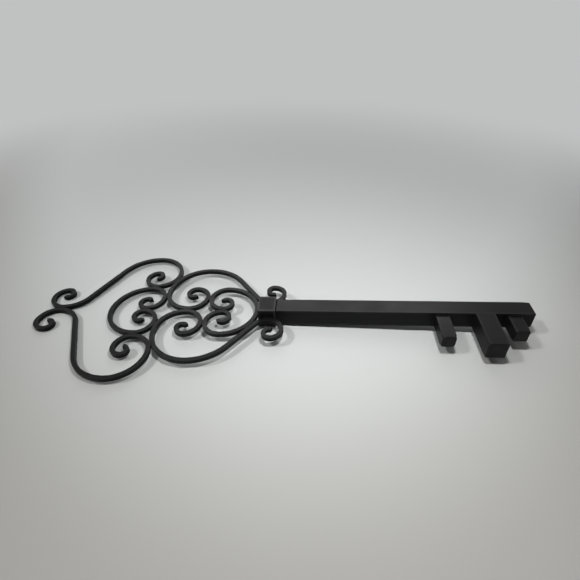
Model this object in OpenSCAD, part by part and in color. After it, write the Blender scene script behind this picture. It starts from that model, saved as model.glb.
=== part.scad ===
// Decorative wall key of square bar and square tube, all pieces welded.
// It lies as it would on a wall: +Z points away from the wall, +X runs along the
// shaft to its tip, and the bits point to -Y. The origin is the middle of the
// collar's back face, which is the lowest face of the key.

/* [Bar of the scrolls] */
// Side of the square bar
bar_w = 8; // [6:0.5:9]
// Root gap that a weld bridges between two bars, or between a bar and the collar
root_gap = 0.3; // [0.2:0.05:0.5]
// Reach of a weld bead from the middle of its contact
bead_r = 7; // [6:0.5:8]
// Step down from a bar's face to the face of its weld bead
bead_step = 0.8; // [0.4:0.1:1.5]

/* [Shaft] */
// Side of the shaft's square tube
shaft_w = 33; // [28:1:36]
// Wall of the shaft's tube
shaft_wall = 1.2; // [0.9:0.1:3]
// Outer corner radius of every tube and cap
tube_corner_r = 1; // [0.5:0.5:2.5]
// Distance from the collar's middle to the shaft's tip
tip_x = 478; // [400:1:560]
// Thickness of the plate that closes the tip
shaft_cap_t = 2.5; // [1.5:0.5:4]

/* [Collar] */
// Length of the collar along the shaft
collar_l = 32; // [28:1:44]
// Wall of the collar's sleeve
collar_wall = 3.3; // [3:0.1:5]
// Clearance round the shaft and round the end plate inside the collar
sleeve_gap = 0.2; // [0.1:0.05:0.4]
// Thickness of the plate in the collar's bow end
collar_plate_t = 3; // [2:0.5:5]
// Leg of the fillet between the collar and the shaft
collar_fillet = 3; // [2:0.5:3]

/* [Bits] */
// Side of the two thin bits' square tube, the middle bit being cut from the shaft's own tube
thin_bit_w = 24; // [18:1:26]
// Wall of the thin bits' tube
thin_bit_wall = 1.2; // [0.9:0.1:3]
// Thickness of the plates that close the bits
bit_cap_t = 2; // [1.5:0.5:3]
// Reach of the bit nearest the bow, cap included, from the shaft's side
near_bit_l = 55.5; // [40:0.5:80]
// Reach of the middle bit, cap included, from the shaft's side
middle_bit_l = 74; // [50:1:100]
// Reach of the bit nearest the tip, cap included, from the shaft's side
tip_bit_l = 39.5; // [25:0.5:70]
// Distance from the shaft's tip back to the middle of the bit nearest the bow
near_bit_back = 161; // [140:1:180]
// Distance from the shaft's tip back to the middle of the middle bit
middle_bit_back = 87; // [75:1:95]
// Distance from the shaft's tip back to the middle of the bit nearest the tip
tip_bit_back = 35; // [20:1:38]
// Leg of the fillets at the bits' roots
bit_fillet = 2; // [1:0.5:3]

/* [C-scrolls] */
// Radius of a C-scroll's back, measured like all bend radii to the bar's middle line
c_back_r = 62.5; // [60:0.5:65]
// Radius of the turn from the back into the curl
c_turn_r = 30.5; // [28:0.5:32]
// Radii of the curl's last three bends
c_curl_r = [15, 12, 7]; // [6:0.5:16]
// Angle of the last bend
c_end_angle = 75; // [40:5:100]

/* [Main scrolls] */
// Angle between the key's axis and the straight that leaves the collar
main_angle = 53; // [50:0.5:56]
// Radius of the bend that lies against the collar
main_neck_r = 32; // [25:1:40]
// Radius of the loop's outer bend
main_top_r = 85; // [80:1:90]
// Radius of the loop's bend towards the crown
main_side_r = 72; // [69:0.5:74]
// Radius of the loop's bend towards the axis
main_low_r = 48.5; // [46:0.5:50]
// Radii of the inner curl's last three bends, as shares of the bend before them
main_curl_shares = [0.8, 0.46, 0.29]; // [0.25:0.01:0.9]
// Angle of the inner curl's last bend
main_end_angle = 145; // [60:5:170]
// Radii of the small curl beside the collar
neck_curl_r = [25.5, 20, 11.5, 10]; // [9:0.5:27]
// Angle of the small curl's last bend
neck_end_angle = 115; // [40:5:120]

/* [Outer scrolls] */
// Angle between the key's axis and the shoulder's straight
outer_angle = 66; // [62:0.5:70]
// Radius of the bend from the crown into the straight
outer_crown_r = 46; // [40:1:52]
// Radius of the shoulder's outer bend
outer_top_r = 75; // [68:1:82]
// Radius of the shoulder's bend towards the collar
outer_side_r = 56; // [50:1:60]
// Radius of the bend that touches the main scroll and the crown C
outer_low_r = 39; // [36:0.5:42]
// Radii of the inner curl's last three bends
outer_curl_r = [26, 18.5, 9.5]; // [7:0.5:28]
// Angle of the inner curl's last bend
outer_end_angle = 180; // [90:5:190]
// Radii of the finial curl at the crown
finial_r = [30.5, 21, 12.5, 9]; // [8:0.5:32]
// Angle of the finial's last bend
finial_end_angle = 116; // [60:2:130]

/* [Hidden] */
$fn = 96;
// Finer rounding where a bead's thin edges lie along a bar
bead_fn = 360;
// Ground band where a straight stretch of bar meets its bends, a hair proud of the bar
band_l = 1.6;
band_proud = 0.03;

// Colours of the paint on the bars, the tubes and the welds
bar_colour = [0.17, 0.17, 0.175];
tube_colour = [0.2, 0.2, 0.205];
bead_colour = [0.15, 0.15, 0.155];

// Heights above the wall
collar_w = shaft_w + 2 * (sleeve_gap + collar_wall);
mid_z = collar_w / 2;

// Ends of the collar and of the tube in it
collar_x = collar_l / 2;
shaft_x = collar_plate_t - collar_x;

// Distance between the middle lines of two bars that a weld joins
touch = bar_w + root_gap;
half_touch = touch / 2;

// C-scrolls: the lowest bend brings the curl to the key's axis
c_low_r = c_back_r - c_turn_r - half_touch;
c_turn_y = c_back_r - c_turn_r;
neck_c_x = -collar_x - root_gap - bar_w / 2;
neck_c_centre = neck_c_x - c_back_r;
// At a C's side the turn meets the lowest bend, and the wider of the two touches a neighbour
c_side_r = max(c_turn_r, c_low_r);
neck_c_side_x = neck_c_centre - c_turn_r + c_side_r;

// Main scrolls: the straight runs tangent to the neck C, the neck bend lies against
// the collar, and the loop's lowest point lies beside the key's axis
main_sin = sin(main_angle);
main_cos = cos(main_angle);
main_y = collar_w / 2 + root_gap + bar_w / 2;
main_x = neck_c_centre
    + (c_back_r + touch + main_neck_r - (main_y + main_neck_r) * main_cos) / main_sin;
main_top_y = half_touch + main_low_r + main_side_r;
main_top_x = neck_c_centre
    + (c_back_r + touch - main_top_r - (main_top_y - main_top_r) * main_cos) / main_sin;
main_straight = (main_x - main_top_x - (main_neck_r + main_top_r) * main_sin) * main_cos
    + (main_top_y - main_y - (main_neck_r + main_top_r) * (1 - main_cos)) * main_sin;
main_low_x = main_top_x - main_side_r + main_low_r;
main_side_y = half_touch + main_low_r;
// This bend is the one that touches the neck C's side
main_inner_reach = c_side_r + touch;
main_inner_r = (pow(neck_c_side_x - main_low_x, 2) + pow(c_low_r, 2) - pow(main_inner_reach, 2))
    / (2 * (c_low_r + main_inner_reach));
main_curl_r = main_inner_r * main_curl_shares;

// Crown C: its turn touches the main scroll's lowest bend
crown_c_reach = c_turn_r + main_low_r + touch;
crown_c_turn_x = main_low_x - sqrt(pow(crown_c_reach, 2) - pow(c_turn_y - main_side_y, 2));
crown_c_x = crown_c_turn_x - c_back_r;

// Outer scrolls: the lowest bend touches both the main scroll and the crown C
outer_centre = meet([crown_c_turn_x, c_turn_y], outer_low_r + c_turn_r + touch,
    [main_top_x, main_side_y], outer_low_r + main_side_r + touch);
outer_top_x = outer_centre.x + outer_low_r - outer_side_r;
outer_top_y = outer_centre.y + outer_side_r;
outer_sin = sin(outer_angle);
outer_cos = cos(outer_angle);
outer_straight = (outer_top_y - half_touch - (outer_crown_r + outer_top_r) * (1 - outer_cos))
    / outer_sin;
outer_x = outer_top_x - (outer_crown_r + outer_top_r) * outer_sin - outer_straight * outer_cos;

// Point at distance d1 from p1 and d2 from p2, on the left of the line from p1 to p2
function meet(p1, d1, p2, d2) =
    let (way = p2 - p1, far = norm(way))
    let (along = (d1 * d1 - d2 * d2 + far * far) / (2 * far))
    let (aside = sqrt(d1 * d1 - along * along))
    p1 + (along * way + aside * [-way.y, way.x]) / far;

// Bends of one bar: each is [radius, turn] with a left turn positive, and [length, 0] is straight
function quarter_bends(radii, side, last_angle) = [
    for (i = [0 : len(radii) - 1]) [radii[i], side * (i < len(radii) - 1 ? 90 : last_angle)]
];

// Straight stretch of bar along +X, with a band round each end that joins it to its bends
module straight_bar(length) {
    band_w = bar_w + 2 * band_proud;
    translate([length / 2, 0, 0]) cube([length - band_l / 2, bar_w, bar_w], center = true);
    for (x = [0, length]) translate([x, 0, 0]) cube([band_l, band_w, band_w], center = true);
}

// Bar along a list of bends, from the origin towards +X
module bar(bends, i = 0) {
    if (i < len(bends)) {
        size = bends[i][0];
        turn = bends[i][1];
        if (turn == 0) {
            straight_bar(size);
            translate([size, 0, 0]) bar(bends, i + 1);
        } else {
            side = turn < 0 ? 1 : 0;
            mirror([0, side, 0]) translate([0, size, 0]) rotate([0, 0, -90])
                rotate_extrude(angle = abs(turn)) translate([size, 0]) square(bar_w, center = true);
            translate([size * sin(abs(turn)), sign(turn) * size * (1 - cos(turn)), 0])
                rotate([0, 0, turn]) bar(bends, i + 1);
        }
    }
}

// Outline of a tube with round corners
module round_square(w) {
    inner = w - 2 * tube_corner_r;
    square([w, inner], center = true);
    square([inner, w], center = true);
    for (x = [-inner / 2, inner / 2], y = [-inner / 2, inner / 2])
        translate([x, y]) circle(tube_corner_r);
}

// Square tube along +Z
module tube(w, wall, length) {
    linear_extrude(length) difference() {
        round_square(w);
        square(w - 2 * wall, center = true);
    }
}

// Puts a shape that runs along +Z on the shaft's axis, running along +X from x
module along_shaft(x) {
    translate([x, 0, mid_z]) rotate([0, 90, 0]) children();
}

// Puts a shape that runs along +Z on a bit's axis, running to -Y from a reach off the shaft's side
module along_bit(back, reach = 0) {
    translate([tip_x - back, -shaft_w / 2 - reach, mid_z]) rotate([90, 0, 0]) children();
}

// Both halves of what lies on the +Y side
module both_sides() {
    children();
    mirror([0, 1, 0]) children();
}

// Weld bead in the gap between two round bends that touch, given their centres and radii
module round_bead(p1, r1, p2, r2) {
    contact = p1 + (p2 - p1) * (r1 + half_touch) / norm(p2 - p1);
    bead() difference() {
        translate(contact) circle(bead_r);
        translate(p1) circle(r1 + bar_w / 2, $fn = bead_fn);
        translate(p2) circle(r2 + bar_w / 2, $fn = bead_fn);
    }
}

// Weld bead between a round bend and a flat face, which faces the bend along the angle
module flat_bead(p, r, angle) {
    bead() difference() {
        translate(p) rotate(angle) translate([r + half_touch, 0]) circle(bead_r);
        translate(p) circle(r + bar_w / 2, $fn = bead_fn);
        translate(p) rotate(angle) translate([r + bar_w / 2 + root_gap, -2 * bead_r])
            square([2 * bead_r, 4 * bead_r]);
    }
}

// Gives a bead's outline its height, a step lower than the bar on both faces
module bead() {
    bead_h = bar_w - 2 * bead_step;
    translate([0, 0, mid_z - bead_h / 2]) linear_extrude(bead_h) children();
}

// Fillet with two equal legs against the plane z = 0 and a wall at x = 0, along Y
module fillet(leg, length) {
    rotate([90, 0, 0]) linear_extrude(length, center = true) polygon([[0, 0], [leg, 0], [0, leg]]);
}

// Shaft
module shaft_tube() {
    color(tube_colour) along_shaft(shaft_x) tube(shaft_w, shaft_wall, tip_x - shaft_cap_t - shaft_x);
}

module shaft_end_cap() {
    color(tube_colour) along_shaft(tip_x - shaft_cap_t) linear_extrude(shaft_cap_t)
        round_square(shaft_w);
}

// Collar
module collar_sleeve() {
    color(tube_colour) along_shaft(-collar_x) tube(collar_w, collar_wall, collar_l);
}

module collar_end_plate() {
    color(tube_colour) along_shaft(-collar_x) linear_extrude(collar_plate_t)
        square(shaft_w, center = true);
}

module collar_shaft_weld() {
    side = shaft_w - 2 * tube_corner_r;
    color(bead_colour) along_shaft(collar_x) for (turn = [0 : 90 : 270])
        rotate([0, 0, turn]) translate([shaft_w / 2, 0, 0]) fillet(collar_fillet, side);
}

// Bits
module bit_cap(w, back, reach) {
    color(tube_colour) along_bit(back, reach - bit_cap_t) linear_extrude(bit_cap_t) round_square(w);
}

module thin_bit_tube(back, reach) {
    color(tube_colour) along_bit(back) tube(thin_bit_w, thin_bit_wall, reach - bit_cap_t);
}

module near_bit_tube() {
    thin_bit_tube(near_bit_back, near_bit_l);
}

module near_bit_cap() {
    bit_cap(thin_bit_w, near_bit_back, near_bit_l);
}

module middle_bit_tube() {
    color(tube_colour) along_bit(middle_bit_back) tube(shaft_w, shaft_wall, middle_bit_l - bit_cap_t);
}

module middle_bit_cap() {
    bit_cap(shaft_w, middle_bit_back, middle_bit_l);
}

module tip_bit_tube() {
    thin_bit_tube(tip_bit_back, tip_bit_l);
}

module tip_bit_cap() {
    bit_cap(thin_bit_w, tip_bit_back, tip_bit_l);
}

// Fillets on the four sides of a thin bit and on the two upright sides of the middle bit,
// and fillings between the middle bit's end and the shaft's round corners
module bit_root_welds() {
    thin_side = thin_bit_w - 2 * tube_corner_r;
    middle_side = shaft_w - 2 * tube_corner_r;
    color(bead_colour) {
        for (back = [near_bit_back, tip_bit_back], turn = [0 : 90 : 270])
            along_bit(back) rotate([0, 0, turn]) translate([thin_bit_w / 2, 0, 0])
                fillet(bit_fillet, thin_side);
        along_bit(middle_bit_back) for (turn = [0, 180]) rotate([0, 0, turn]) {
            translate([shaft_w / 2, 0, 0]) fillet(bit_fillet, middle_side);
            translate([0, middle_side / 2, -tube_corner_r]) rotate([90, 0, 90])
                corner_filling(middle_side);
        }
    }
}

// What a round corner of tube leaves free of a square one, extruded to a length
module corner_filling(length) {
    linear_extrude(length, center = true) difference() {
        square(tube_corner_r);
        circle(tube_corner_r);
    }
}

// Scrolls, each drawn from its crown or collar end to the straight, and from the top of
// its outer bend back to the straight and on into the inner curl
module outer_scroll() {
    inner_bends = concat([outer_side_r, outer_low_r], outer_curl_r);
    color(bar_colour) {
        translate([outer_x, half_touch, mid_z]) {
            bar([[outer_crown_r, outer_angle], [outer_straight, 0]]);
            rotate([0, 0, 180]) bar(quarter_bends(finial_r, -1, finial_end_angle));
        }
        translate([outer_top_x, outer_top_y, mid_z]) {
            bar(quarter_bends(inner_bends, -1, outer_end_angle));
            rotate([0, 0, 180]) bar([[outer_top_r, outer_angle]]);
        }
    }
}

module outer_scroll_plain_side() {
    outer_scroll();
}

module outer_scroll_bit_side() {
    mirror([0, 1, 0]) outer_scroll();
}

module main_scroll() {
    inner_bends = concat([main_side_r, main_low_r, main_inner_r], main_curl_r);
    color(bar_colour) {
        translate([main_x, main_y, mid_z]) {
            rotate([0, 0, 180]) bar([[main_neck_r, -main_angle], [main_straight, 0]]);
            bar(quarter_bends(neck_curl_r, 1, neck_end_angle));
        }
        translate([main_top_x, main_top_y, mid_z]) {
            rotate([0, 0, 180]) bar(quarter_bends(inner_bends, 1, main_end_angle));
            bar([[main_top_r, -main_angle]]);
        }
    }
}

module main_scroll_plain_side() {
    main_scroll();
}

module main_scroll_bit_side() {
    mirror([0, 1, 0]) main_scroll();
}

// A C with its back at the origin and its curls towards -X
module c_scroll() {
    half = quarter_bends(concat([c_back_r, c_turn_r, c_low_r], c_curl_r), 1, c_end_angle);
    color(bar_colour) both_sides() rotate([0, 0, 90]) bar(half);
}

module crown_c_scroll() {
    translate([crown_c_x, 0, mid_z]) mirror([1, 0, 0]) c_scroll();
}

module neck_c_scroll() {
    translate([neck_c_x, 0, mid_z]) c_scroll();
}

// Welds of the bow
module axis_bead(x, r) {
    round_bead([x, half_touch + r], r, [x, -half_touch - r], r);
}

module crown_weld() {
    color(bead_colour) axis_bead(outer_x, outer_crown_r);
}

module outer_scroll_welds() {
    color(bead_colour) {
        round_bead(outer_centre, outer_low_r, [main_top_x, main_side_y], main_side_r);
        round_bead(outer_centre, outer_low_r, [crown_c_turn_x, c_turn_y], c_turn_r);
    }
}

module outer_scroll_welds_plain_side() {
    outer_scroll_welds();
}

module outer_scroll_welds_bit_side() {
    mirror([0, 1, 0]) outer_scroll_welds();
}

module crown_c_welds() {
    color(bead_colour) {
        axis_bead(crown_c_turn_x + c_turn_r - c_low_r, c_low_r);
        both_sides() round_bead([crown_c_turn_x, c_turn_y], c_turn_r,
            [main_low_x, main_side_y], main_low_r);
    }
}

module main_scroll_weld() {
    color(bead_colour) axis_bead(main_low_x, main_low_r);
}

module neck_c_welds() {
    color(bead_colour) {
        axis_bead(neck_c_centre - c_turn_r + c_low_r, c_low_r);
        both_sides() {
            round_bead([neck_c_side_x, c_turn_y], c_side_r,
                [main_low_x, half_touch + main_inner_r], main_inner_r);
            flat_bead([neck_c_centre, 0], c_back_r, 90 - main_angle);
        }
    }
}

module collar_scroll_welds() {
    color(bead_colour) {
        flat_bead([neck_c_centre, 0], c_back_r, 0);
        both_sides() flat_bead([main_x, main_y + main_neck_r], main_neck_r, -90);
    }
}

shaft_tube();
shaft_end_cap();
collar_sleeve();
collar_end_plate();
near_bit_tube();
near_bit_cap();
middle_bit_tube();
middle_bit_cap();
tip_bit_tube();
tip_bit_cap();
outer_scroll_bit_side();
outer_scroll_plain_side();
main_scroll_bit_side();
main_scroll_plain_side();
crown_c_scroll();
neck_c_scroll();
crown_weld();
outer_scroll_welds_bit_side();
outer_scroll_welds_plain_side();
crown_c_welds();
main_scroll_weld();
neck_c_welds();
collar_scroll_welds();
collar_shaft_weld();
bit_root_welds();
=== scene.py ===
import math
import random

import bpy
from mathutils import Matrix, Vector


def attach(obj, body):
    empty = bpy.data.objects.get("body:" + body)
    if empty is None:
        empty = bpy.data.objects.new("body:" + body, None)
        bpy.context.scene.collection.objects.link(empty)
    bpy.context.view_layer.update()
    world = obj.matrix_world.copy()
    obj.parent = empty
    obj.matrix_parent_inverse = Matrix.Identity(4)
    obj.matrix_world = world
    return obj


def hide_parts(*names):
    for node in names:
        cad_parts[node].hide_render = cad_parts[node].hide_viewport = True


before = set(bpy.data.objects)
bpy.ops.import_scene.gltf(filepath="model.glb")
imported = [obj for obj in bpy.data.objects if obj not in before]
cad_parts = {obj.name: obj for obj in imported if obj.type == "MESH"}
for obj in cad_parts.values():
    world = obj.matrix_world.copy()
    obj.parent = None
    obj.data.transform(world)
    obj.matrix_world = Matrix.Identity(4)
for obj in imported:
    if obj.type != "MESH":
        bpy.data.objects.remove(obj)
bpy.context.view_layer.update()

# Lengths in the dictionaries are in millimetres and angles in degrees, and everything is built in metres.
# Only the floor's shading and the lamps, which no piece touches, are written in metres
mm = 0.001
root = "root"
smoothAngle = 40
# Points that should lie together may be this far apart
slack = {"corner": 0.01, "end": 0.1}


def deselectAll():
    bpy.ops.object.select_all(action="DESELECT")


def makeActive(piece):
    deselectAll()
    piece.select_set(True)
    bpy.context.view_layer.objects.active = piece


# Opens a piece in edit mode with only the points selected for which wanted(point) is true
def openWith(piece, wanted):
    makeActive(piece)
    mesh = piece.data
    chosen = [wanted(point) for point in mesh.vertices]
    for point in mesh.vertices:
        point.select = chosen[point.index]
    for edge in mesh.edges:
        edge.select = all(chosen[i] for i in edge.vertices)
    for face in mesh.polygons:
        face.select = all(chosen[i] for i in face.vertices)
    bpy.ops.object.mode_set(mode="EDIT")
    bpy.ops.mesh.select_mode(type="VERT")


def closeEdit():
    bpy.ops.object.mode_set(mode="OBJECT")


def applyModifier(piece, kind, **settings):
    makeActive(piece)
    modifier = piece.modifiers.new(kind.lower(), kind)
    for key, value in settings.items():
        setattr(modifier, key, value)
    bpy.ops.object.modifier_apply(modifier=modifier.name)


def pointOutwards(piece):
    openWith(piece, lambda point: True)
    bpy.ops.mesh.normals_make_consistent(inside=False)
    closeEdit()


# A copy with its own mesh, moved by a matrix, and turned right side out if that mirrors it
def copyMoved(piece, name, change):
    twin = piece.copy()
    twin.data = piece.data.copy()
    twin.name = twin.data.name = name
    bpy.context.scene.collection.objects.link(twin)
    twin.data.transform(change)
    if change.determinant() < 0:
        pointOutwards(twin)
    return twin


def wayOf(heading):
    return Vector((math.cos(math.radians(heading)), math.sin(math.radians(heading)), 0))


def leftOf(way):
    return Vector((-way.y, way.x, 0))


print("scene: camera")
view = {"frame": 580, "focal": 401.06, "place": (87.69, -558.03, 527.6), "clipEnd": 1000,
    "yaw": -4.4889, "pitch": 39.0915, "roll": 2.2692}
yaw, pitch, roll = (math.radians(view[key]) for key in ("yaw", "pitch", "roll"))
ahead = Vector((math.sin(yaw) * math.cos(pitch), math.cos(yaw) * math.cos(pitch), -math.sin(pitch)))
right = Vector((math.cos(yaw), -math.sin(yaw), 0))
down = ahead.cross(right)
rolledRight = math.cos(roll) * right + math.sin(roll) * down
rolledDown = math.cos(roll) * down - math.sin(roll) * right
cameraData = bpy.data.cameras.new("camera")
camera = bpy.data.objects.new("camera", cameraData)
bpy.context.scene.collection.objects.link(camera)
cameraData.lens = cameraData.sensor_width * view["focal"] / view["frame"]
cameraData.clip_end = view["clipEnd"]
turned = Matrix((rolledRight, -rolledDown, -ahead)).transposed().to_4x4()
camera.matrix_world = Matrix.Translation(Vector(view["place"]) * mm) @ turned
bpy.context.scene.camera = camera


# Where a path along some bends ends. A bend is (radius, turn, left positive) or (length, 0) for a straight
def walk(start, bends):
    x, y, heading = start
    for size, turn in bends:
        way = math.radians(heading)
        if turn:
            side = math.copysign(size, turn)
            heading += turn
            x += side * (math.sin(math.radians(heading)) - math.sin(way))
            y -= side * (math.cos(math.radians(heading)) - math.cos(way))
        else:
            x += size * math.cos(way)
            y += size * math.sin(way)
    return x, y, heading


# A square outline with round corners, stood across the start of a path, with its sides cut fine enough
# to take the unevenness. Its corners carry the mark that the paint reads as pale edges: rubbed wear, and on
# the collar also a painted highlight
def makeOutline(name, section, start):
    x, y, heading = start
    across = leftOf(wayOf(heading))
    middle = Vector((x, y, section["middle"])) * mm
    deselectAll()
    bpy.ops.mesh.primitive_plane_add(size=section["side"] * mm, location=middle,
        rotation=(math.pi / 2, 0, math.radians(heading) + math.pi / 2))
    piece = bpy.context.object
    piece.name = piece.data.name = name
    bpy.ops.object.transform_apply(location=True, rotation=True, scale=True)
    openWith(piece, lambda point: True)
    bpy.ops.mesh.bevel(offset=section["corner"] * mm, segments=section["cornerSteps"], affect="VERTICES")
    bpy.ops.mesh.select_all(action="SELECT")
    bpy.ops.mesh.subdivide(number_cuts=section["cuts"])
    closeEdit()
    flat = (section["side"] / 2 - section["corner"]) * mm
    cornerMark = piece.data.attributes.new("edgeWearAndHighlight", "FLOAT", "POINT")
    for point in piece.data.vertices:
        off = point.co - middle
        onCorner = min(abs(off.dot(across)), abs(off.z)) > flat - slack["corner"] * mm
        cornerMark.data[point.index].value = 1.0 if onCorner else 0.0
    return piece


# Sweeps such an outline along bends in the key's own plane
def sweepSection(name, section, start, bends, closed=True):
    piece = makeOutline(name, section, start)
    x, y, heading = start
    ringSize = len(piece.data.vertices)
    openWith(piece, lambda point: True)
    bpy.ops.mesh.delete(type="ONLY_FACE")
    bpy.ops.mesh.select_all(action="SELECT")
    for size, turn in bends:
        if turn:
            way = math.radians(heading)
            side = math.copysign(size, turn)
            centre = Vector((x - side * math.sin(way), y + side * math.cos(way), section["middle"])) * mm
            steps = max(2, math.ceil(size * math.radians(abs(turn)) / section["step"]))
            # The spin operator takes a turn to the right as positive
            bpy.ops.mesh.spin(steps=steps, angle=-math.radians(turn), center=centre, axis=(0, 0, 1))
        else:
            steps = max(1, math.ceil(size / section["step"]))
            stride = wayOf(heading) * size * mm / steps
            for _ in range(steps):
                bpy.ops.mesh.extrude_region_move(TRANSFORM_OT_translate={"value": stride})
        x, y, heading = walk((x, y, heading), [(size, turn)])
    if closed:
        bpy.ops.mesh.edge_face_add()
        closeEdit()
        openWith(piece, lambda point: point.index < ringSize)
        bpy.ops.mesh.edge_face_add()
    closeEdit()
    pointOutwards(piece)
    return piece


# Rounds the rim of each end face that wanted(face) picks
def roundRim(piece, reach, steps, wanted=lambda face: True):
    makeActive(piece)
    mesh = piece.data
    rim = {key for face in mesh.polygons if len(face.vertices) > 4 and wanted(face) for key in face.edge_keys}
    for element in [*mesh.vertices, *mesh.polygons]:
        element.select = False
    for edge in mesh.edges:
        edge.select = edge.key in rim
    bpy.ops.object.mode_set(mode="EDIT")
    bpy.ops.mesh.select_mode(type="EDGE")
    bpy.ops.mesh.bevel(offset=reach * mm, segments=steps, affect="EDGES", clamp_overlap=False)
    closeEdit()


# Gives a piece the slight unevenness of bent and painted steel, and flats that shade as flats, so that
# only the round corners catch the light
def finishSurface(piece, depth, patch):
    noise = bpy.data.textures.new(piece.name + "_unevenness", "CLOUDS")
    noise.noise_scale = patch * mm
    noise.noise_depth = 1
    applyModifier(piece, "DISPLACE", texture=noise, strength=depth * mm, mid_level=0.5,
        texture_coords="LOCAL")
    makeActive(piece)
    bpy.ops.object.shade_smooth_by_angle(angle=math.radians(smoothAngle))
    applyModifier(piece, "WEIGHTED_NORMAL", keep_sharp=True)


def placePiece(piece, slot, paint, *nodes):
    piece.data.materials.clear()
    piece.data.materials.append(paint)
    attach(piece, root)
    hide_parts(*nodes)


print("scene: paint")
# A Mix node set to colours has several sockets of one name, so these are told apart by number
mixA, mixB, mixResult = 6, 7, 2


def hexToLinear(text):
    parts = [int(text[i:i + 2], 16) / 255 for i in (1, 3, 5)]
    return [part / 12.92 if part <= 0.04045 else ((part + 0.055) / 1.055) ** 2.4 for part in parts] + [1]


# Adds one node. Links go from (node, output) to the input of that name or number
def addNode(tree, kind, settings, values, links):
    node = tree.nodes.new(kind)
    for key, value in settings.items():
        setattr(node, key, value)
    for key, value in values.items():
        node.inputs[key].default_value = value
    for key, (source, output) in links.items():
        tree.links.new(source.outputs[output], node.inputs[key])
    return node


# What all coats share: the grain of their noises, and how deep peel and dents go
coat = {"cloudDetail": 3.0, "cloudRoughness": 0.55, "peelDetail": 1.0, "dentDetail": 2.0,
    "cloudLow": 0.3, "cloudHigh": 0.7, "peelDepth": 0.05, "dentDepth": 0.4, "specular": 0.1, "ior": 1.5}


# Satin black spray paint over mild steel: a thin coat that shows the bar's own small dents,
# with a faint orange peel, slightly patchy gloss and edges rubbed a little smoother and paler. Where the edge
# colour is much paler, as on the collar, that pale edge is a painted highlight as well
def makePaint(name, look):
    paint = bpy.data.materials.new(name)
    paint.use_nodes = True
    tree = paint.node_tree
    tree.nodes.clear()
    place = addNode(tree, "ShaderNodeTexCoord", {}, {}, {})
    onPiece = {"Vector": (place, "Object")}
    cloud = addNode(tree, "ShaderNodeTexNoise", {}, {"Scale": 1 / (look["patch"] * mm),
        "Detail": coat["cloudDetail"], "Roughness": coat["cloudRoughness"]}, onPiece)
    peel = addNode(tree, "ShaderNodeTexNoise", {},
        {"Scale": 1 / (look["peel"] * mm), "Detail": coat["peelDetail"]}, onPiece)
    dents = addNode(tree, "ShaderNodeTexNoise", {},
        {"Scale": 1 / (look["dent"] * mm), "Detail": coat["dentDetail"]}, onPiece)
    tone = addNode(tree, "ShaderNodeMix", {"data_type": "RGBA"},
        {mixA: hexToLinear(look["dark"]), mixB: hexToLinear(look["pale"])}, {0: (cloud, "Fac")})
    # Corners are mixed towards the edge colour, patchy with the dents: rubbed wear, and on the collar a
    # painted highlight too
    edge = addNode(tree, "ShaderNodeAttribute", {"attribute_name": "edgeWearAndHighlight"}, {}, {})
    wornAndLitEdge = addNode(tree, "ShaderNodeMath", {"operation": "MULTIPLY"}, {},
        {0: (edge, "Fac"), 1: (dents, "Fac")})
    wornAndLitShare = addNode(tree, "ShaderNodeMath", {"operation": "MULTIPLY"}, {1: look["edgeShare"]},
        {0: (wornAndLitEdge, 0)})
    colour = addNode(tree, "ShaderNodeMix", {"data_type": "RGBA"}, {mixB: hexToLinear(look["edge"])},
        {0: (wornAndLitShare, 0), mixA: (tone, mixResult)})
    gloss = addNode(tree, "ShaderNodeMapRange", {},
        {"From Min": coat["cloudLow"], "From Max": coat["cloudHigh"],
        "To Min": look["rough"][0], "To Max": look["rough"][1]}, {"Value": (cloud, "Fac")})
    skin = addNode(tree, "ShaderNodeBump", {},
        {"Strength": look["peelBump"], "Distance": coat["peelDepth"] * mm}, {"Height": (peel, "Fac")})
    dented = addNode(tree, "ShaderNodeBump", {},
        {"Strength": look["dentBump"], "Distance": coat["dentDepth"] * mm},
        {"Height": (dents, "Fac"), "Normal": (skin, "Normal")})
    shader = addNode(tree, "ShaderNodeBsdfPrincipled", {},
        {"Specular IOR Level": coat["specular"], "IOR": coat["ior"], "Metallic": 0.0},
        {"Base Color": (colour, mixResult), "Roughness": (gloss, 0), "Normal": (dented, "Normal")})
    addNode(tree, "ShaderNodeOutputMaterial", {}, {}, {"Surface": (shader, "BSDF")})
    return paint


# Rolled bar, hammered and bent cold before it was painted: small dents under a thin coat break its gloss
barPaint = makePaint("satin_black_paint_on_square_bar",
    {"dark": "#0e0e0f", "pale": "#171717", "edge": "#242424", "edgeShare": 0.8, "patch": 34, "peel": 1.6,
    "dent": 9, "rough": (0.36, 0.5), "peelBump": 0.25, "dentBump": 0.3})
# Welded tube is smoother from the mill, so its wide flats shine in long even patches
tubePaint = makePaint("satin_black_paint_on_square_tube",
    {"dark": "#0e0e0f", "pale": "#171717", "edge": "#2b2b2b", "edgeShare": 0.9, "patch": 60, "peel": 1.8,
    "dent": 22, "rough": (0.34, 0.46), "peelBump": 0.2, "dentBump": 0.25})
# The collar's coat is the same, put on thicker and less even, and pale along its rims: light rubbing, with a
# painted highlight along the rims on top of it
collarPaint = makePaint("satin_black_paint_on_collar",
    {"dark": "#0c0c0d", "pale": "#191919", "edge": "#555555", "edgeShare": 1.0, "patch": 12, "peel": 1.8,
    "dent": 10, "rough": (0.4, 0.58), "peelBump": 0.3, "dentBump": 0.5})
# Over the ripples of a weld the coat looks duller and rougher, and nothing has rubbed it
beadPaint = makePaint("satin_black_paint_over_weld_beads",
    {"dark": "#0e0e0e", "pale": "#181818", "edge": "#2c2c2c", "edgeShare": 0.0, "patch": 8, "peel": 0.9,
    "dent": 3, "rough": (0.42, 0.6), "peelBump": 0.4, "dentBump": 0.5})

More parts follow.
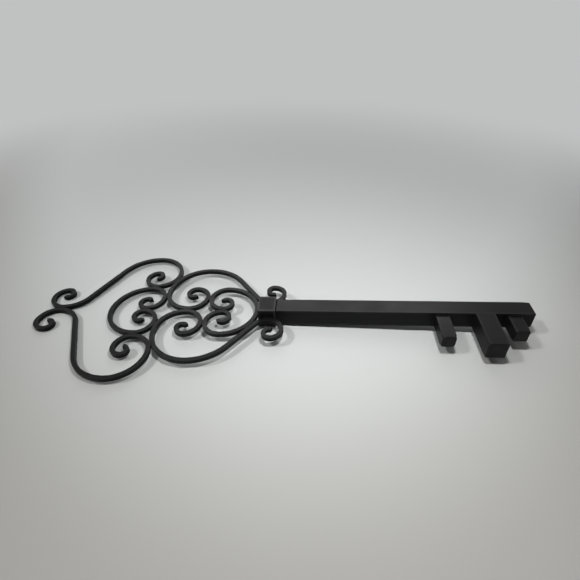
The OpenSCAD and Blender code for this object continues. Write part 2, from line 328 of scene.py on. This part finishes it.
print("scene: scrolls")
bar = {"side": 8, "corner": 0.6, "cornerSteps": 3, "cuts": 3, "middle": 20, "step": 2.4}
gap = 0.3  # Root gap that a weld bridges
tipRim = {"reach": 0.6, "steps": 3}
barUneven = {"depth": 0.5, "patch": 14}
cScroll = {"back": 62.5, "turn": 30.5, "low": 27.85, "curl": (15, 12, 7), "end": 75,
    "neckBack": -20.3, "crownBack": -301.281}
mainScroll = {"start": (3.494, 24.3), "neck": 32, "angle": 53, "straight": 67.318, "outer": 85,
    "loop": (72, 48.5, 32.511, 26.009, 14.955, 9.428), "end": 145,
    "smallCurl": (25.5, 20, 11.5, 10), "smallEnd": 115}
outerScroll = {"start": (-402.737, 4.15), "crown": 46, "angle": 66, "straight": 98.281, "outer": 75,
    "loop": (56, 39, 26, 18.5, 9.5), "end": 180, "finial": (30.5, 21, 12.5, 9), "finialEnd": 116}


# Quarter turns of the given radii, the last one turning by its own angle
def quarterBends(radii, side, end):
    return [(radius, side * 90) for radius in radii[:-1]] + [(radii[-1], side * end)]


# A path back from the far end of some bends, and then on from the start
def bothWays(start, backBends, onBends):
    x, y, heading = start
    x, y, heading = walk((x, y, heading + 180), backBends)
    return (x, y, heading + 180), [(size, -turn) for size, turn in reversed(backBends)] + onBends


def makeBar(name, start, backBends, onBends):
    piece = sweepSection(name, bar, *bothWays(start, backBends, onBends))
    roundRim(piece, **tipRim)
    return piece


mirrorY = Matrix.Scale(-1, 4, (0, 1, 0))
mirrorX = Matrix.Scale(-1, 4, (1, 0, 0))
cHalf = quarterBends((cScroll["back"], cScroll["turn"], cScroll["low"], *cScroll["curl"]), 1,
    cScroll["end"])
neckC = makeBar("neck_c_bar", (cScroll["neckBack"], 0, 90), [(size, -turn) for size, turn in cHalf], cHalf)
toCrown = Matrix.Translation(((cScroll["crownBack"] + cScroll["neckBack"]) * mm, 0, 0))
crownC = copyMoved(neckC, "crown_c_bar", toCrown @ mirrorX)
mainPlain = makeBar("main_bar_plain_side", (*mainScroll["start"], 180),
    quarterBends(mainScroll["smallCurl"], 1, mainScroll["smallEnd"]),
    [(mainScroll["neck"], -mainScroll["angle"]), (mainScroll["straight"], 0),
    (mainScroll["outer"], mainScroll["angle"])]
    + quarterBends(mainScroll["loop"], 1, mainScroll["end"]))
mainBit = copyMoved(mainPlain, "main_bar_bit_side", mirrorY)
outerPlain = makeBar("outer_bar_plain_side", (*outerScroll["start"], 0),
    quarterBends(outerScroll["finial"], -1, outerScroll["finialEnd"]),
    [(outerScroll["crown"], outerScroll["angle"]), (outerScroll["straight"], 0),
    (outerScroll["outer"], -outerScroll["angle"])]
    + quarterBends(outerScroll["loop"], -1, outerScroll["end"]))
outerBit = copyMoved(outerPlain, "outer_bar_bit_side", mirrorY)
barPieces = [(neckC, "neck_c_scroll"), (crownC, "crown_c_scroll"),
    (mainPlain, "main_scroll_plain_side"), (mainBit, "main_scroll_bit_side"),
    (outerPlain, "outer_scroll_plain_side"), (outerBit, "outer_scroll_bit_side")]
for piece, node in barPieces:
    finishSurface(piece, **barUneven)
    placePiece(piece, "bar_paint", barPaint, node)

print("scene: shaft, collar and bits")
shaft = {"side": 33, "corner": 0.7, "cornerSteps": 5, "cuts": 7, "middle": 20, "step": 9,
    "wall": 1.2, "start": -13, "tip": 478, "cap": 2.5}
collar = dict(shaft, side=40, cuts=9, step=4, wall=3.3, end=16, plate=3, plateCornerSteps=2)
thinBit = dict(shaft, side=24, cuts=5, step=6)
# How far each bit stands back from the tip and out from the shaft, and how round its end is worn
bits = {
    "near_bit": {"section": thinBit, "back": 161, "reach": 55.5, "corner": 5},
    "middle_bit": {"section": shaft, "back": 87, "reach": 74, "corner": 2.6},
    "tip_bit": {"section": thinBit, "back": 35, "reach": 39.5, "corner": 2.6},
}
bitCap = 2
endCorner = 2.6
capRim = {"reach": 0.9, "steps": 3}
tubeUneven = {"depth": 0.25, "patch": 45}


# Widens the rounding of a tube's corners at its far end, where the plate's weld is ground flush
def grindEnd(piece, section, end, corner):
    x, y, heading = end
    middle = Vector((x, y, section["middle"])) * mm
    ahead = wayOf(heading)
    across = leftOf(ahead)
    sharp = (section["side"] / 2 - section["corner"]) * mm
    worn = (section["side"] / 2 - corner) * mm
    for point in piece.data.vertices:
        off = point.co - middle
        a, b = off.dot(across), off.z
        if abs(off.dot(ahead)) > slack["end"] * mm or min(abs(a), abs(b)) < sharp - slack["corner"] * mm:
            continue
        way = Vector((abs(a) - sharp, abs(b) - sharp)).normalized() * corner * mm
        point.co += across * math.copysign(1, a) * (worn + way.x - abs(a))
        point.co.z += math.copysign(1, b) * (worn + way.y - abs(b))


def makeTube(name, section, start, length, corner=endCorner):
    piece = sweepSection(name, section, start, [(length, 0)], closed=False)
    if corner:
        grindEnd(piece, section, walk(start, [(length, 0)]), corner)
    applyModifier(piece, "SOLIDIFY", thickness=section["wall"] * mm, offset=-1, use_even_offset=True)
    return piece


def makeCap(name, section, start, thick, corner=endCorner):
    piece = sweepSection(name, dict(section, corner=corner), start, [(thick, 0)])
    ahead = wayOf(start[2])
    roundRim(piece, **capRim, wanted=lambda face: face.normal.dot(ahead) > 0.5)
    return piece


capStart = shaft["tip"] - shaft["cap"]
shaftTube = makeTube("shaft_square_tube", shaft, (shaft["start"], 0, 0), capStart - shaft["start"])
shaftCap = makeCap("shaft_tip_plate", shaft, (capStart, 0, 0), shaft["cap"])
sleeve = makeTube("collar_square_tube", collar, (-collar["end"], 0, 0), 2 * collar["end"], corner=None)
plate = makeCap("collar_inner_plate", dict(shaft, cornerSteps=collar["plateCornerSteps"]),
    (shaft["start"], 0, 180), collar["plate"])
# The collar's cut ends get the same pale rim as its long edges: light rubbing with a painted highlight
for point in sleeve.data.vertices:
    if abs(abs(point.co.x) - collar["end"] * mm) < slack["end"] * mm:
        sleeve.data.attributes["edgeWearAndHighlight"].data[point.index].value = 1.0
tubePieces = [(shaftTube, "shaft_tube"), (shaftCap, "shaft_end_cap"), (sleeve, "collar_sleeve"),
    (plate, "collar_end_plate")]
for label, bit in bits.items():
    x, y = shaft["tip"] - bit["back"], -shaft["side"] / 2
    tube = makeTube(label + "_square_tube", bit["section"], (x, y, -90), bit["reach"] - bitCap,
        bit["corner"])
    cap = makeCap(label + "_end_plate", bit["section"], (x, y - bit["reach"] + bitCap, -90), bitCap,
        bit["corner"])
    tubePieces += [(tube, label + "_tube"), (cap, label + "_cap")]
for piece, node in tubePieces:
    finishSurface(piece, **tubeUneven)
    placePiece(piece, "tube_paint", collarPaint if piece is sleeve else tubePaint, node)

print("scene: welds")
dice = random.Random(11)
dropShape = {"segments": 14, "rings": 8, "voxel": 0.4, "smooth": 0.5, "passes": 2}


# One drop of weld, half sunk in what it joins
def addDrop(place, sizes, turn):
    deselectAll()
    bpy.ops.mesh.primitive_uv_sphere_add(segments=dropShape["segments"], ring_count=dropShape["rings"],
        radius=1, location=Vector(place) * mm, rotation=(0, 0, turn), scale=Vector(sizes) * mm)
    return bpy.context.object


# Joins drops and fuses them into one run of weld
def fuseDrops(name, drops):
    deselectAll()
    for drop in drops:
        drop.select_set(True)
    bpy.context.view_layer.objects.active = drops[0]
    bpy.ops.object.transform_apply(location=True, rotation=True, scale=True)
    bpy.ops.object.join()
    piece = bpy.context.object
    piece.name = piece.data.name = name
    applyModifier(piece, "REMESH", mode="VOXEL", voxel_size=dropShape["voxel"] * mm, use_smooth_shade=True)
    applyModifier(piece, "SMOOTH", factor=dropShape["smooth"], iterations=dropShape["passes"])
    return piece


barRun = {"reach": 6, "spacing": 1.5, "side": 1.3, "along": 1.5, "high": 3.85, "wobble": (0.92, 1.06)}


# How fast half the gap opens beside a contact, for each bar's radius there
def openingRate(*radii):
    return sum(1 / (radius + bar["side"] / 2) for radius in radii) / 4


# Drops along a contact, wider where the gap beside it opens
def rowOfDrops(contact, away, rate):
    along = leftOf(away)
    turn = math.atan2(along.y, along.x)
    drops = []
    count = round(2 * barRun["reach"] / barRun["spacing"])
    for i in range(count + 1):
        s = -barRun["reach"] + i * barRun["spacing"]
        wobble = dice.uniform(*barRun["wobble"])
        half = (barRun["side"] + rate * s * s) * wobble
        sizes = (barRun["along"] * wobble, half, barRun["high"] * wobble ** 0.5)
        drops.append(addDrop(contact + along * s, sizes, turn))
    return drops


# Drops along the line where two bends, given as (x, y, radius), run side by side
def bendDrops(first, second):
    x1, y1, r1 = first
    x2, y2, r2 = second
    away = Vector((x2 - x1, y2 - y1, 0)).normalized()
    contact = Vector((x1, y1, bar["middle"])) + away * (r1 + bar["side"] / 2 + gap / 2)
    return rowOfDrops(contact, away, openingRate(r1, r2))


def onAxis(x, radius):
    return (x, gap / 2 + bar["side"] / 2 + radius, radius), (x, -gap / 2 - bar["side"] / 2 - radius, radius)


def flipped(bend):
    return bend[0], -bend[1], bend[2]


# Bends that touch another one, as (x, y, radius)
crownCTurn = (-238.781, 32, cScroll["turn"])
neckCTurn = (-82.8, 32, cScroll["turn"])
outerLow = (-235.224, 109.719, outerScroll["loop"][1])
mainSide = (-130.459, 52.65, mainScroll["loop"][0])
mainLow = (-153.959, 52.65, mainScroll["loop"][1])
mainInner = (-153.959, 36.661, mainScroll["loop"][2])
crownCurlX = -236.131
neckCurlX = -85.45
weldRuns = {
    "crown_weld": [onAxis(outerScroll["start"][0], outerScroll["crown"])],
    "outer_scroll_welds_plain_side": [(outerLow, mainSide), (outerLow, crownCTurn)],
    "outer_scroll_welds_bit_side": [(flipped(outerLow), flipped(mainSide)),
        (flipped(outerLow), flipped(crownCTurn))],
    "crown_c_welds": [onAxis(crownCurlX, cScroll["low"]), (crownCTurn, mainLow),
        (flipped(crownCTurn), flipped(mainLow))],
    "main_scroll_weld": [onAxis(mainLow[0], mainLow[2])],
    "neck_c_welds": [onAxis(neckCurlX, cScroll["low"]), (neckCTurn, mainInner),
        (flipped(neckCTurn), flipped(mainInner))],
}
for node, pairs in weldRuns.items():
    drops = [drop for first, second in pairs for drop in bendDrops(first, second)]
    if node == "neck_c_welds":
        # The neck C's back also touches the straight of each main scroll
        for side in (1, -1):
            lean = 90 - mainScroll["angle"]
            away = wayOf(side * lean)
            centre = Vector((cScroll["neckBack"] - cScroll["back"], 0, bar["middle"]))
            contact = centre + away * (cScroll["back"] + (bar["side"] + gap) / 2)
            drops += rowOfDrops(contact, away, openingRate(cScroll["back"]))
    placePiece(fuseDrops(node + "_beads", drops), "bead_paint", beadPaint, node)

# One tack blob shows above each small curl's root, on the collar's side
tack = {"place": (-1.5, 20.6, 23.6), "sizes": (2.6, 1.3, 2.2)}
collarSide = collar["side"] / 2 + gap / 2
drops = rowOfDrops(Vector((-collar["end"] - gap / 2, 0, bar["middle"])), Vector((1, 0, 0)),
    openingRate(cScroll["back"]))
for side in (1, -1):
    contact = Vector((mainScroll["start"][0], side * collarSide, bar["middle"]))
    drops += rowOfDrops(contact, Vector((0, side, 0)), openingRate(mainScroll["neck"]))
    drops.append(addDrop(Vector(tack["place"]) * Vector((1, side, 1)), tack["sizes"], 0))
placePiece(fuseDrops("collar_bar_beads", drops), "bead_paint", beadPaint, "collar_scroll_welds")

# Sizes of the fillets' drops, and how far each fillet runs to both sides of its middle
filletRun = {"spacing": 1.5, "sink": 0.225, "round": 0.72, "wobble": (0.88, 1.08)}
collarFillet = {"half": 13.5, "size": 2.4}
thinFillet = {"half": 10, "size": 2}
middleFillet = {"half": 13.5, "size": 2.2}


# Drops along an inside corner, to both sides of its middle, between the corner's two outward ways
def cornerDrops(middle, along, wayA, wayB, half, size):
    start, end = middle - along * half, middle + along * half
    count = max(2, round((end - start).length / filletRun["spacing"]))
    drops = []
    for i in range(count + 1):
        wobble = dice.uniform(*filletRun["wobble"])
        place = start.lerp(end, i / count) + (wayA + wayB) * size * filletRun["sink"]
        drops.append(addDrop(place, [size * filletRun["round"] * wobble] * 3, 0))
    return drops


acrossX, acrossY, acrossZ = Vector((1, 0, 0)), Vector((0, 1, 0)), Vector((0, 0, 1))
drops = []
for out, along in ((acrossZ, acrossY), (-acrossZ, acrossY), (acrossY, acrossZ), (-acrossY, acrossZ)):
    corner = Vector((collar["end"], 0, shaft["middle"])) + out * shaft["side"] / 2
    drops += cornerDrops(corner, along, out, acrossX, **collarFillet)
placePiece(fuseDrops("collar_end_bead", drops), "bead_paint", beadPaint, "collar_shaft_weld")

drops = []
for bit in (bits["near_bit"], bits["tip_bit"]):
    bitRoot = Vector((shaft["tip"] - bit["back"], -shaft["side"] / 2, shaft["middle"]))
    for out, along in ((acrossZ, acrossX), (-acrossZ, acrossX), (acrossX, acrossZ), (-acrossX, acrossZ)):
        corner = bitRoot + out * bit["section"]["side"] / 2
        drops += cornerDrops(corner, along, out, -acrossY, **thinFillet)
bitRoot = Vector((shaft["tip"] - bits["middle_bit"]["back"], -shaft["side"] / 2, shaft["middle"]))
for side in (1, -1):
    corner = bitRoot + side * acrossX * shaft["side"] / 2
    drops += cornerDrops(corner, acrossZ, side * acrossX, -acrossY, **middleFillet)
placePiece(fuseDrops("bit_root_beads", drops), "bead_paint", beadPaint, "bit_root_welds")

print("scene: floor and light")
# The key lies on the collar's lower bow-side edge and on the undersides of the finial curls
rest = {"edge": -16, "far": -437.24, "barBottom": 16, "floorSize": 200}
tilt = math.atan2(rest["barBottom"], rest["edge"] - rest["far"])
deselectAll()
bpy.ops.mesh.primitive_plane_add(size=rest["floorSize"], location=(rest["edge"] * mm, 0, 0),
    rotation=(0, tilt, 0))
floor = bpy.context.object
floor.name = floor.data.name = "floor"
bpy.ops.object.transform_apply(location=True, rotation=True, scale=True)
# The floor is matt white cloth, whose weave scatters light evenly and so shows soft shadows and no gloss.
# Its colour is painted palest behind the key and dulls in an oval towards the front and the sides: a painted
# pool of light with painted falloff, for the lit back wall adding to the lamps. Lengths here are in metres
cloth = {"pale": "#dbdedd", "dull": "#acaba7", "squeeze": (1, 0.57, 1), "middle": (0.015, 0.86, 0),
    "near": 0.85, "far": 1.13, "roughness": 0.7, "specular": 0.2}
# Beyond the light's reach the eye and the paint's gloss see a pale ground, which lights nothing
distance = {"tone": "#c0c2c2", "near": 0.6, "far": 1.7}
paleFloor = bpy.data.materials.new("pale_matt_floor")
paleFloor.use_nodes = True
tree = paleFloor.node_tree
tree.nodes.clear()
ground = addNode(tree, "ShaderNodeEmission", {},
    {"Color": hexToLinear(distance["tone"]), "Strength": 1.0}, {})
spot = addNode(tree, "ShaderNodeTexCoord", {}, {}, {})
oval = addNode(tree, "ShaderNodeVectorMath", {"operation": "MULTIPLY"}, {1: cloth["squeeze"]},
    {0: (spot, "Object")})
off = addNode(tree, "ShaderNodeVectorMath", {"operation": "DISTANCE"}, {1: cloth["middle"]},
    {0: (oval, "Vector")})
paintedFalloff = addNode(tree, "ShaderNodeMapRange", {"interpolation_type": "SMOOTHSTEP"},
    {"From Min": cloth["near"], "From Max": cloth["far"], "To Min": 0.0, "To Max": 1.0},
    {"Value": (off, "Value")})
# Mixes the painted pool of light and its painted falloff into the floor's colour
paintedLightPool = addNode(tree, "ShaderNodeMix", {"data_type": "RGBA"},
    {mixA: hexToLinear(cloth["pale"]), mixB: hexToLinear(cloth["dull"])}, {0: (paintedFalloff, 0)})
matt = addNode(tree, "ShaderNodeBsdfPrincipled", {},
    {"Roughness": cloth["roughness"], "Specular IOR Level": cloth["specular"]},
    {"Base Color": (paintedLightPool, mixResult)})
reach = addNode(tree, "ShaderNodeVectorMath", {"operation": "LENGTH"}, {}, {0: (spot, "Object")})
far = addNode(tree, "ShaderNodeMapRange", {"interpolation_type": "SMOOTHSTEP"},
    {"From Min": distance["near"], "From Max": distance["far"], "To Min": 0.0, "To Max": 1.0},
    {"Value": (reach, "Value")})
ray = addNode(tree, "ShaderNodeLightPath", {}, {}, {})
seen = addNode(tree, "ShaderNodeMath", {"operation": "ADD", "use_clamp": True}, {},
    {0: (ray, "Is Camera Ray"), 1: (ray, "Is Glossy Ray")})
share = addNode(tree, "ShaderNodeMath", {"operation": "MULTIPLY"}, {}, {0: (far, 0), 1: (seen, 0)})
surface = addNode(tree, "ShaderNodeMixShader", {}, {},
    {0: (share, 0), 1: (matt, "BSDF"), 2: (ground, "Emission")})
addNode(tree, "ShaderNodeOutputMaterial", {}, {}, {"Surface": (surface, "Shader")})
floor.data.materials.append(paleFloor)

# The tent's walls light the key softly, most from behind, and the paint's gloss sees them a little
# lighter than they light the floor. The eye sees only a plain backdrop
walls = {"tone": "#f6f6f6", "towards": (-0.2, 0.75, 0.63), "near": 0.4, "far": 1.0, "least": 0.08,
    "glossMore": 0.24, "most": 0.8}
world = bpy.data.worlds.new("studio")
bpy.context.scene.world = world
world.use_nodes = True
tree = world.node_tree
tree.nodes.clear()
way = addNode(tree, "ShaderNodeTexCoord", {}, {}, {})
toward = addNode(tree, "ShaderNodeVectorMath", {"operation": "DOT_PRODUCT"}, {1: walls["towards"]},
    {0: (way, "Generated")})
path = addNode(tree, "ShaderNodeLightPath", {}, {}, {})
least = addNode(tree, "ShaderNodeMath", {"operation": "MULTIPLY_ADD"},
    {1: walls["glossMore"], 2: walls["least"]}, {0: (path, "Is Glossy Ray")})
level = addNode(tree, "ShaderNodeMapRange", {"interpolation_type": "SMOOTHSTEP"},
    {"From Min": walls["near"], "From Max": walls["far"], "To Max": walls["most"]},
    {"Value": (toward, "Value"), "To Min": (least, 0)})
lit = addNode(tree, "ShaderNodeBackground", {}, {"Color": hexToLinear(walls["tone"])},
    {"Strength": (level, 0)})
backdrop = addNode(tree, "ShaderNodeBackground", {},
    {"Color": hexToLinear(distance["tone"]), "Strength": 1.0}, {})
sky = addNode(tree, "ShaderNodeMixShader", {}, {},
    {0: (path, "Is Camera Ray"), 1: (lit, "Background"), 2: (backdrop, "Background")})
addNode(tree, "ShaderNodeOutputWorld", {}, {}, {"Surface": (sky, "Shader")})

# Two softboxes, and a card that only the paint's gloss shows, as the tent's lit back wall does
lamps = {
    "overheadSoftbox": {"place": (0.17, -0.2, 0.75), "target": (0.17, -0.2, 0), "size": (0.06, 0.06),
        "watts": 3.4, "lights": True},
    "farLeftSoftbox": {"place": (-2.7, -0.9, 3.7), "target": (0, 0, 0), "size": (0.3, 0.3),
        "watts": 66, "lights": True},
    "backCard": {"place": (-0.02, 1.1, 1.0), "target": (-0.02, 0, 0.03), "size": (1.65, 0.3),
        "watts": 14, "lights": False},
}
for name, look in lamps.items():
    data = bpy.data.lights.new(name, "AREA")
    data.shape = "RECTANGLE"
    data.size, data.size_y = look["size"]
    data.energy = look["watts"]
    lamp = bpy.data.objects.new(name, data)
    bpy.context.scene.collection.objects.link(lamp)
    lamp.location = look["place"]
    lamp.visible_camera = False
    lamp.visible_diffuse = look["lights"]
    lamp.rotation_mode = "QUATERNION"
    lamp.rotation_quaternion = (Vector(look["target"]) - Vector(look["place"])).to_track_quat("-Z", "Y")
bpy.context.scene.view_settings.view_transform = "Standard"
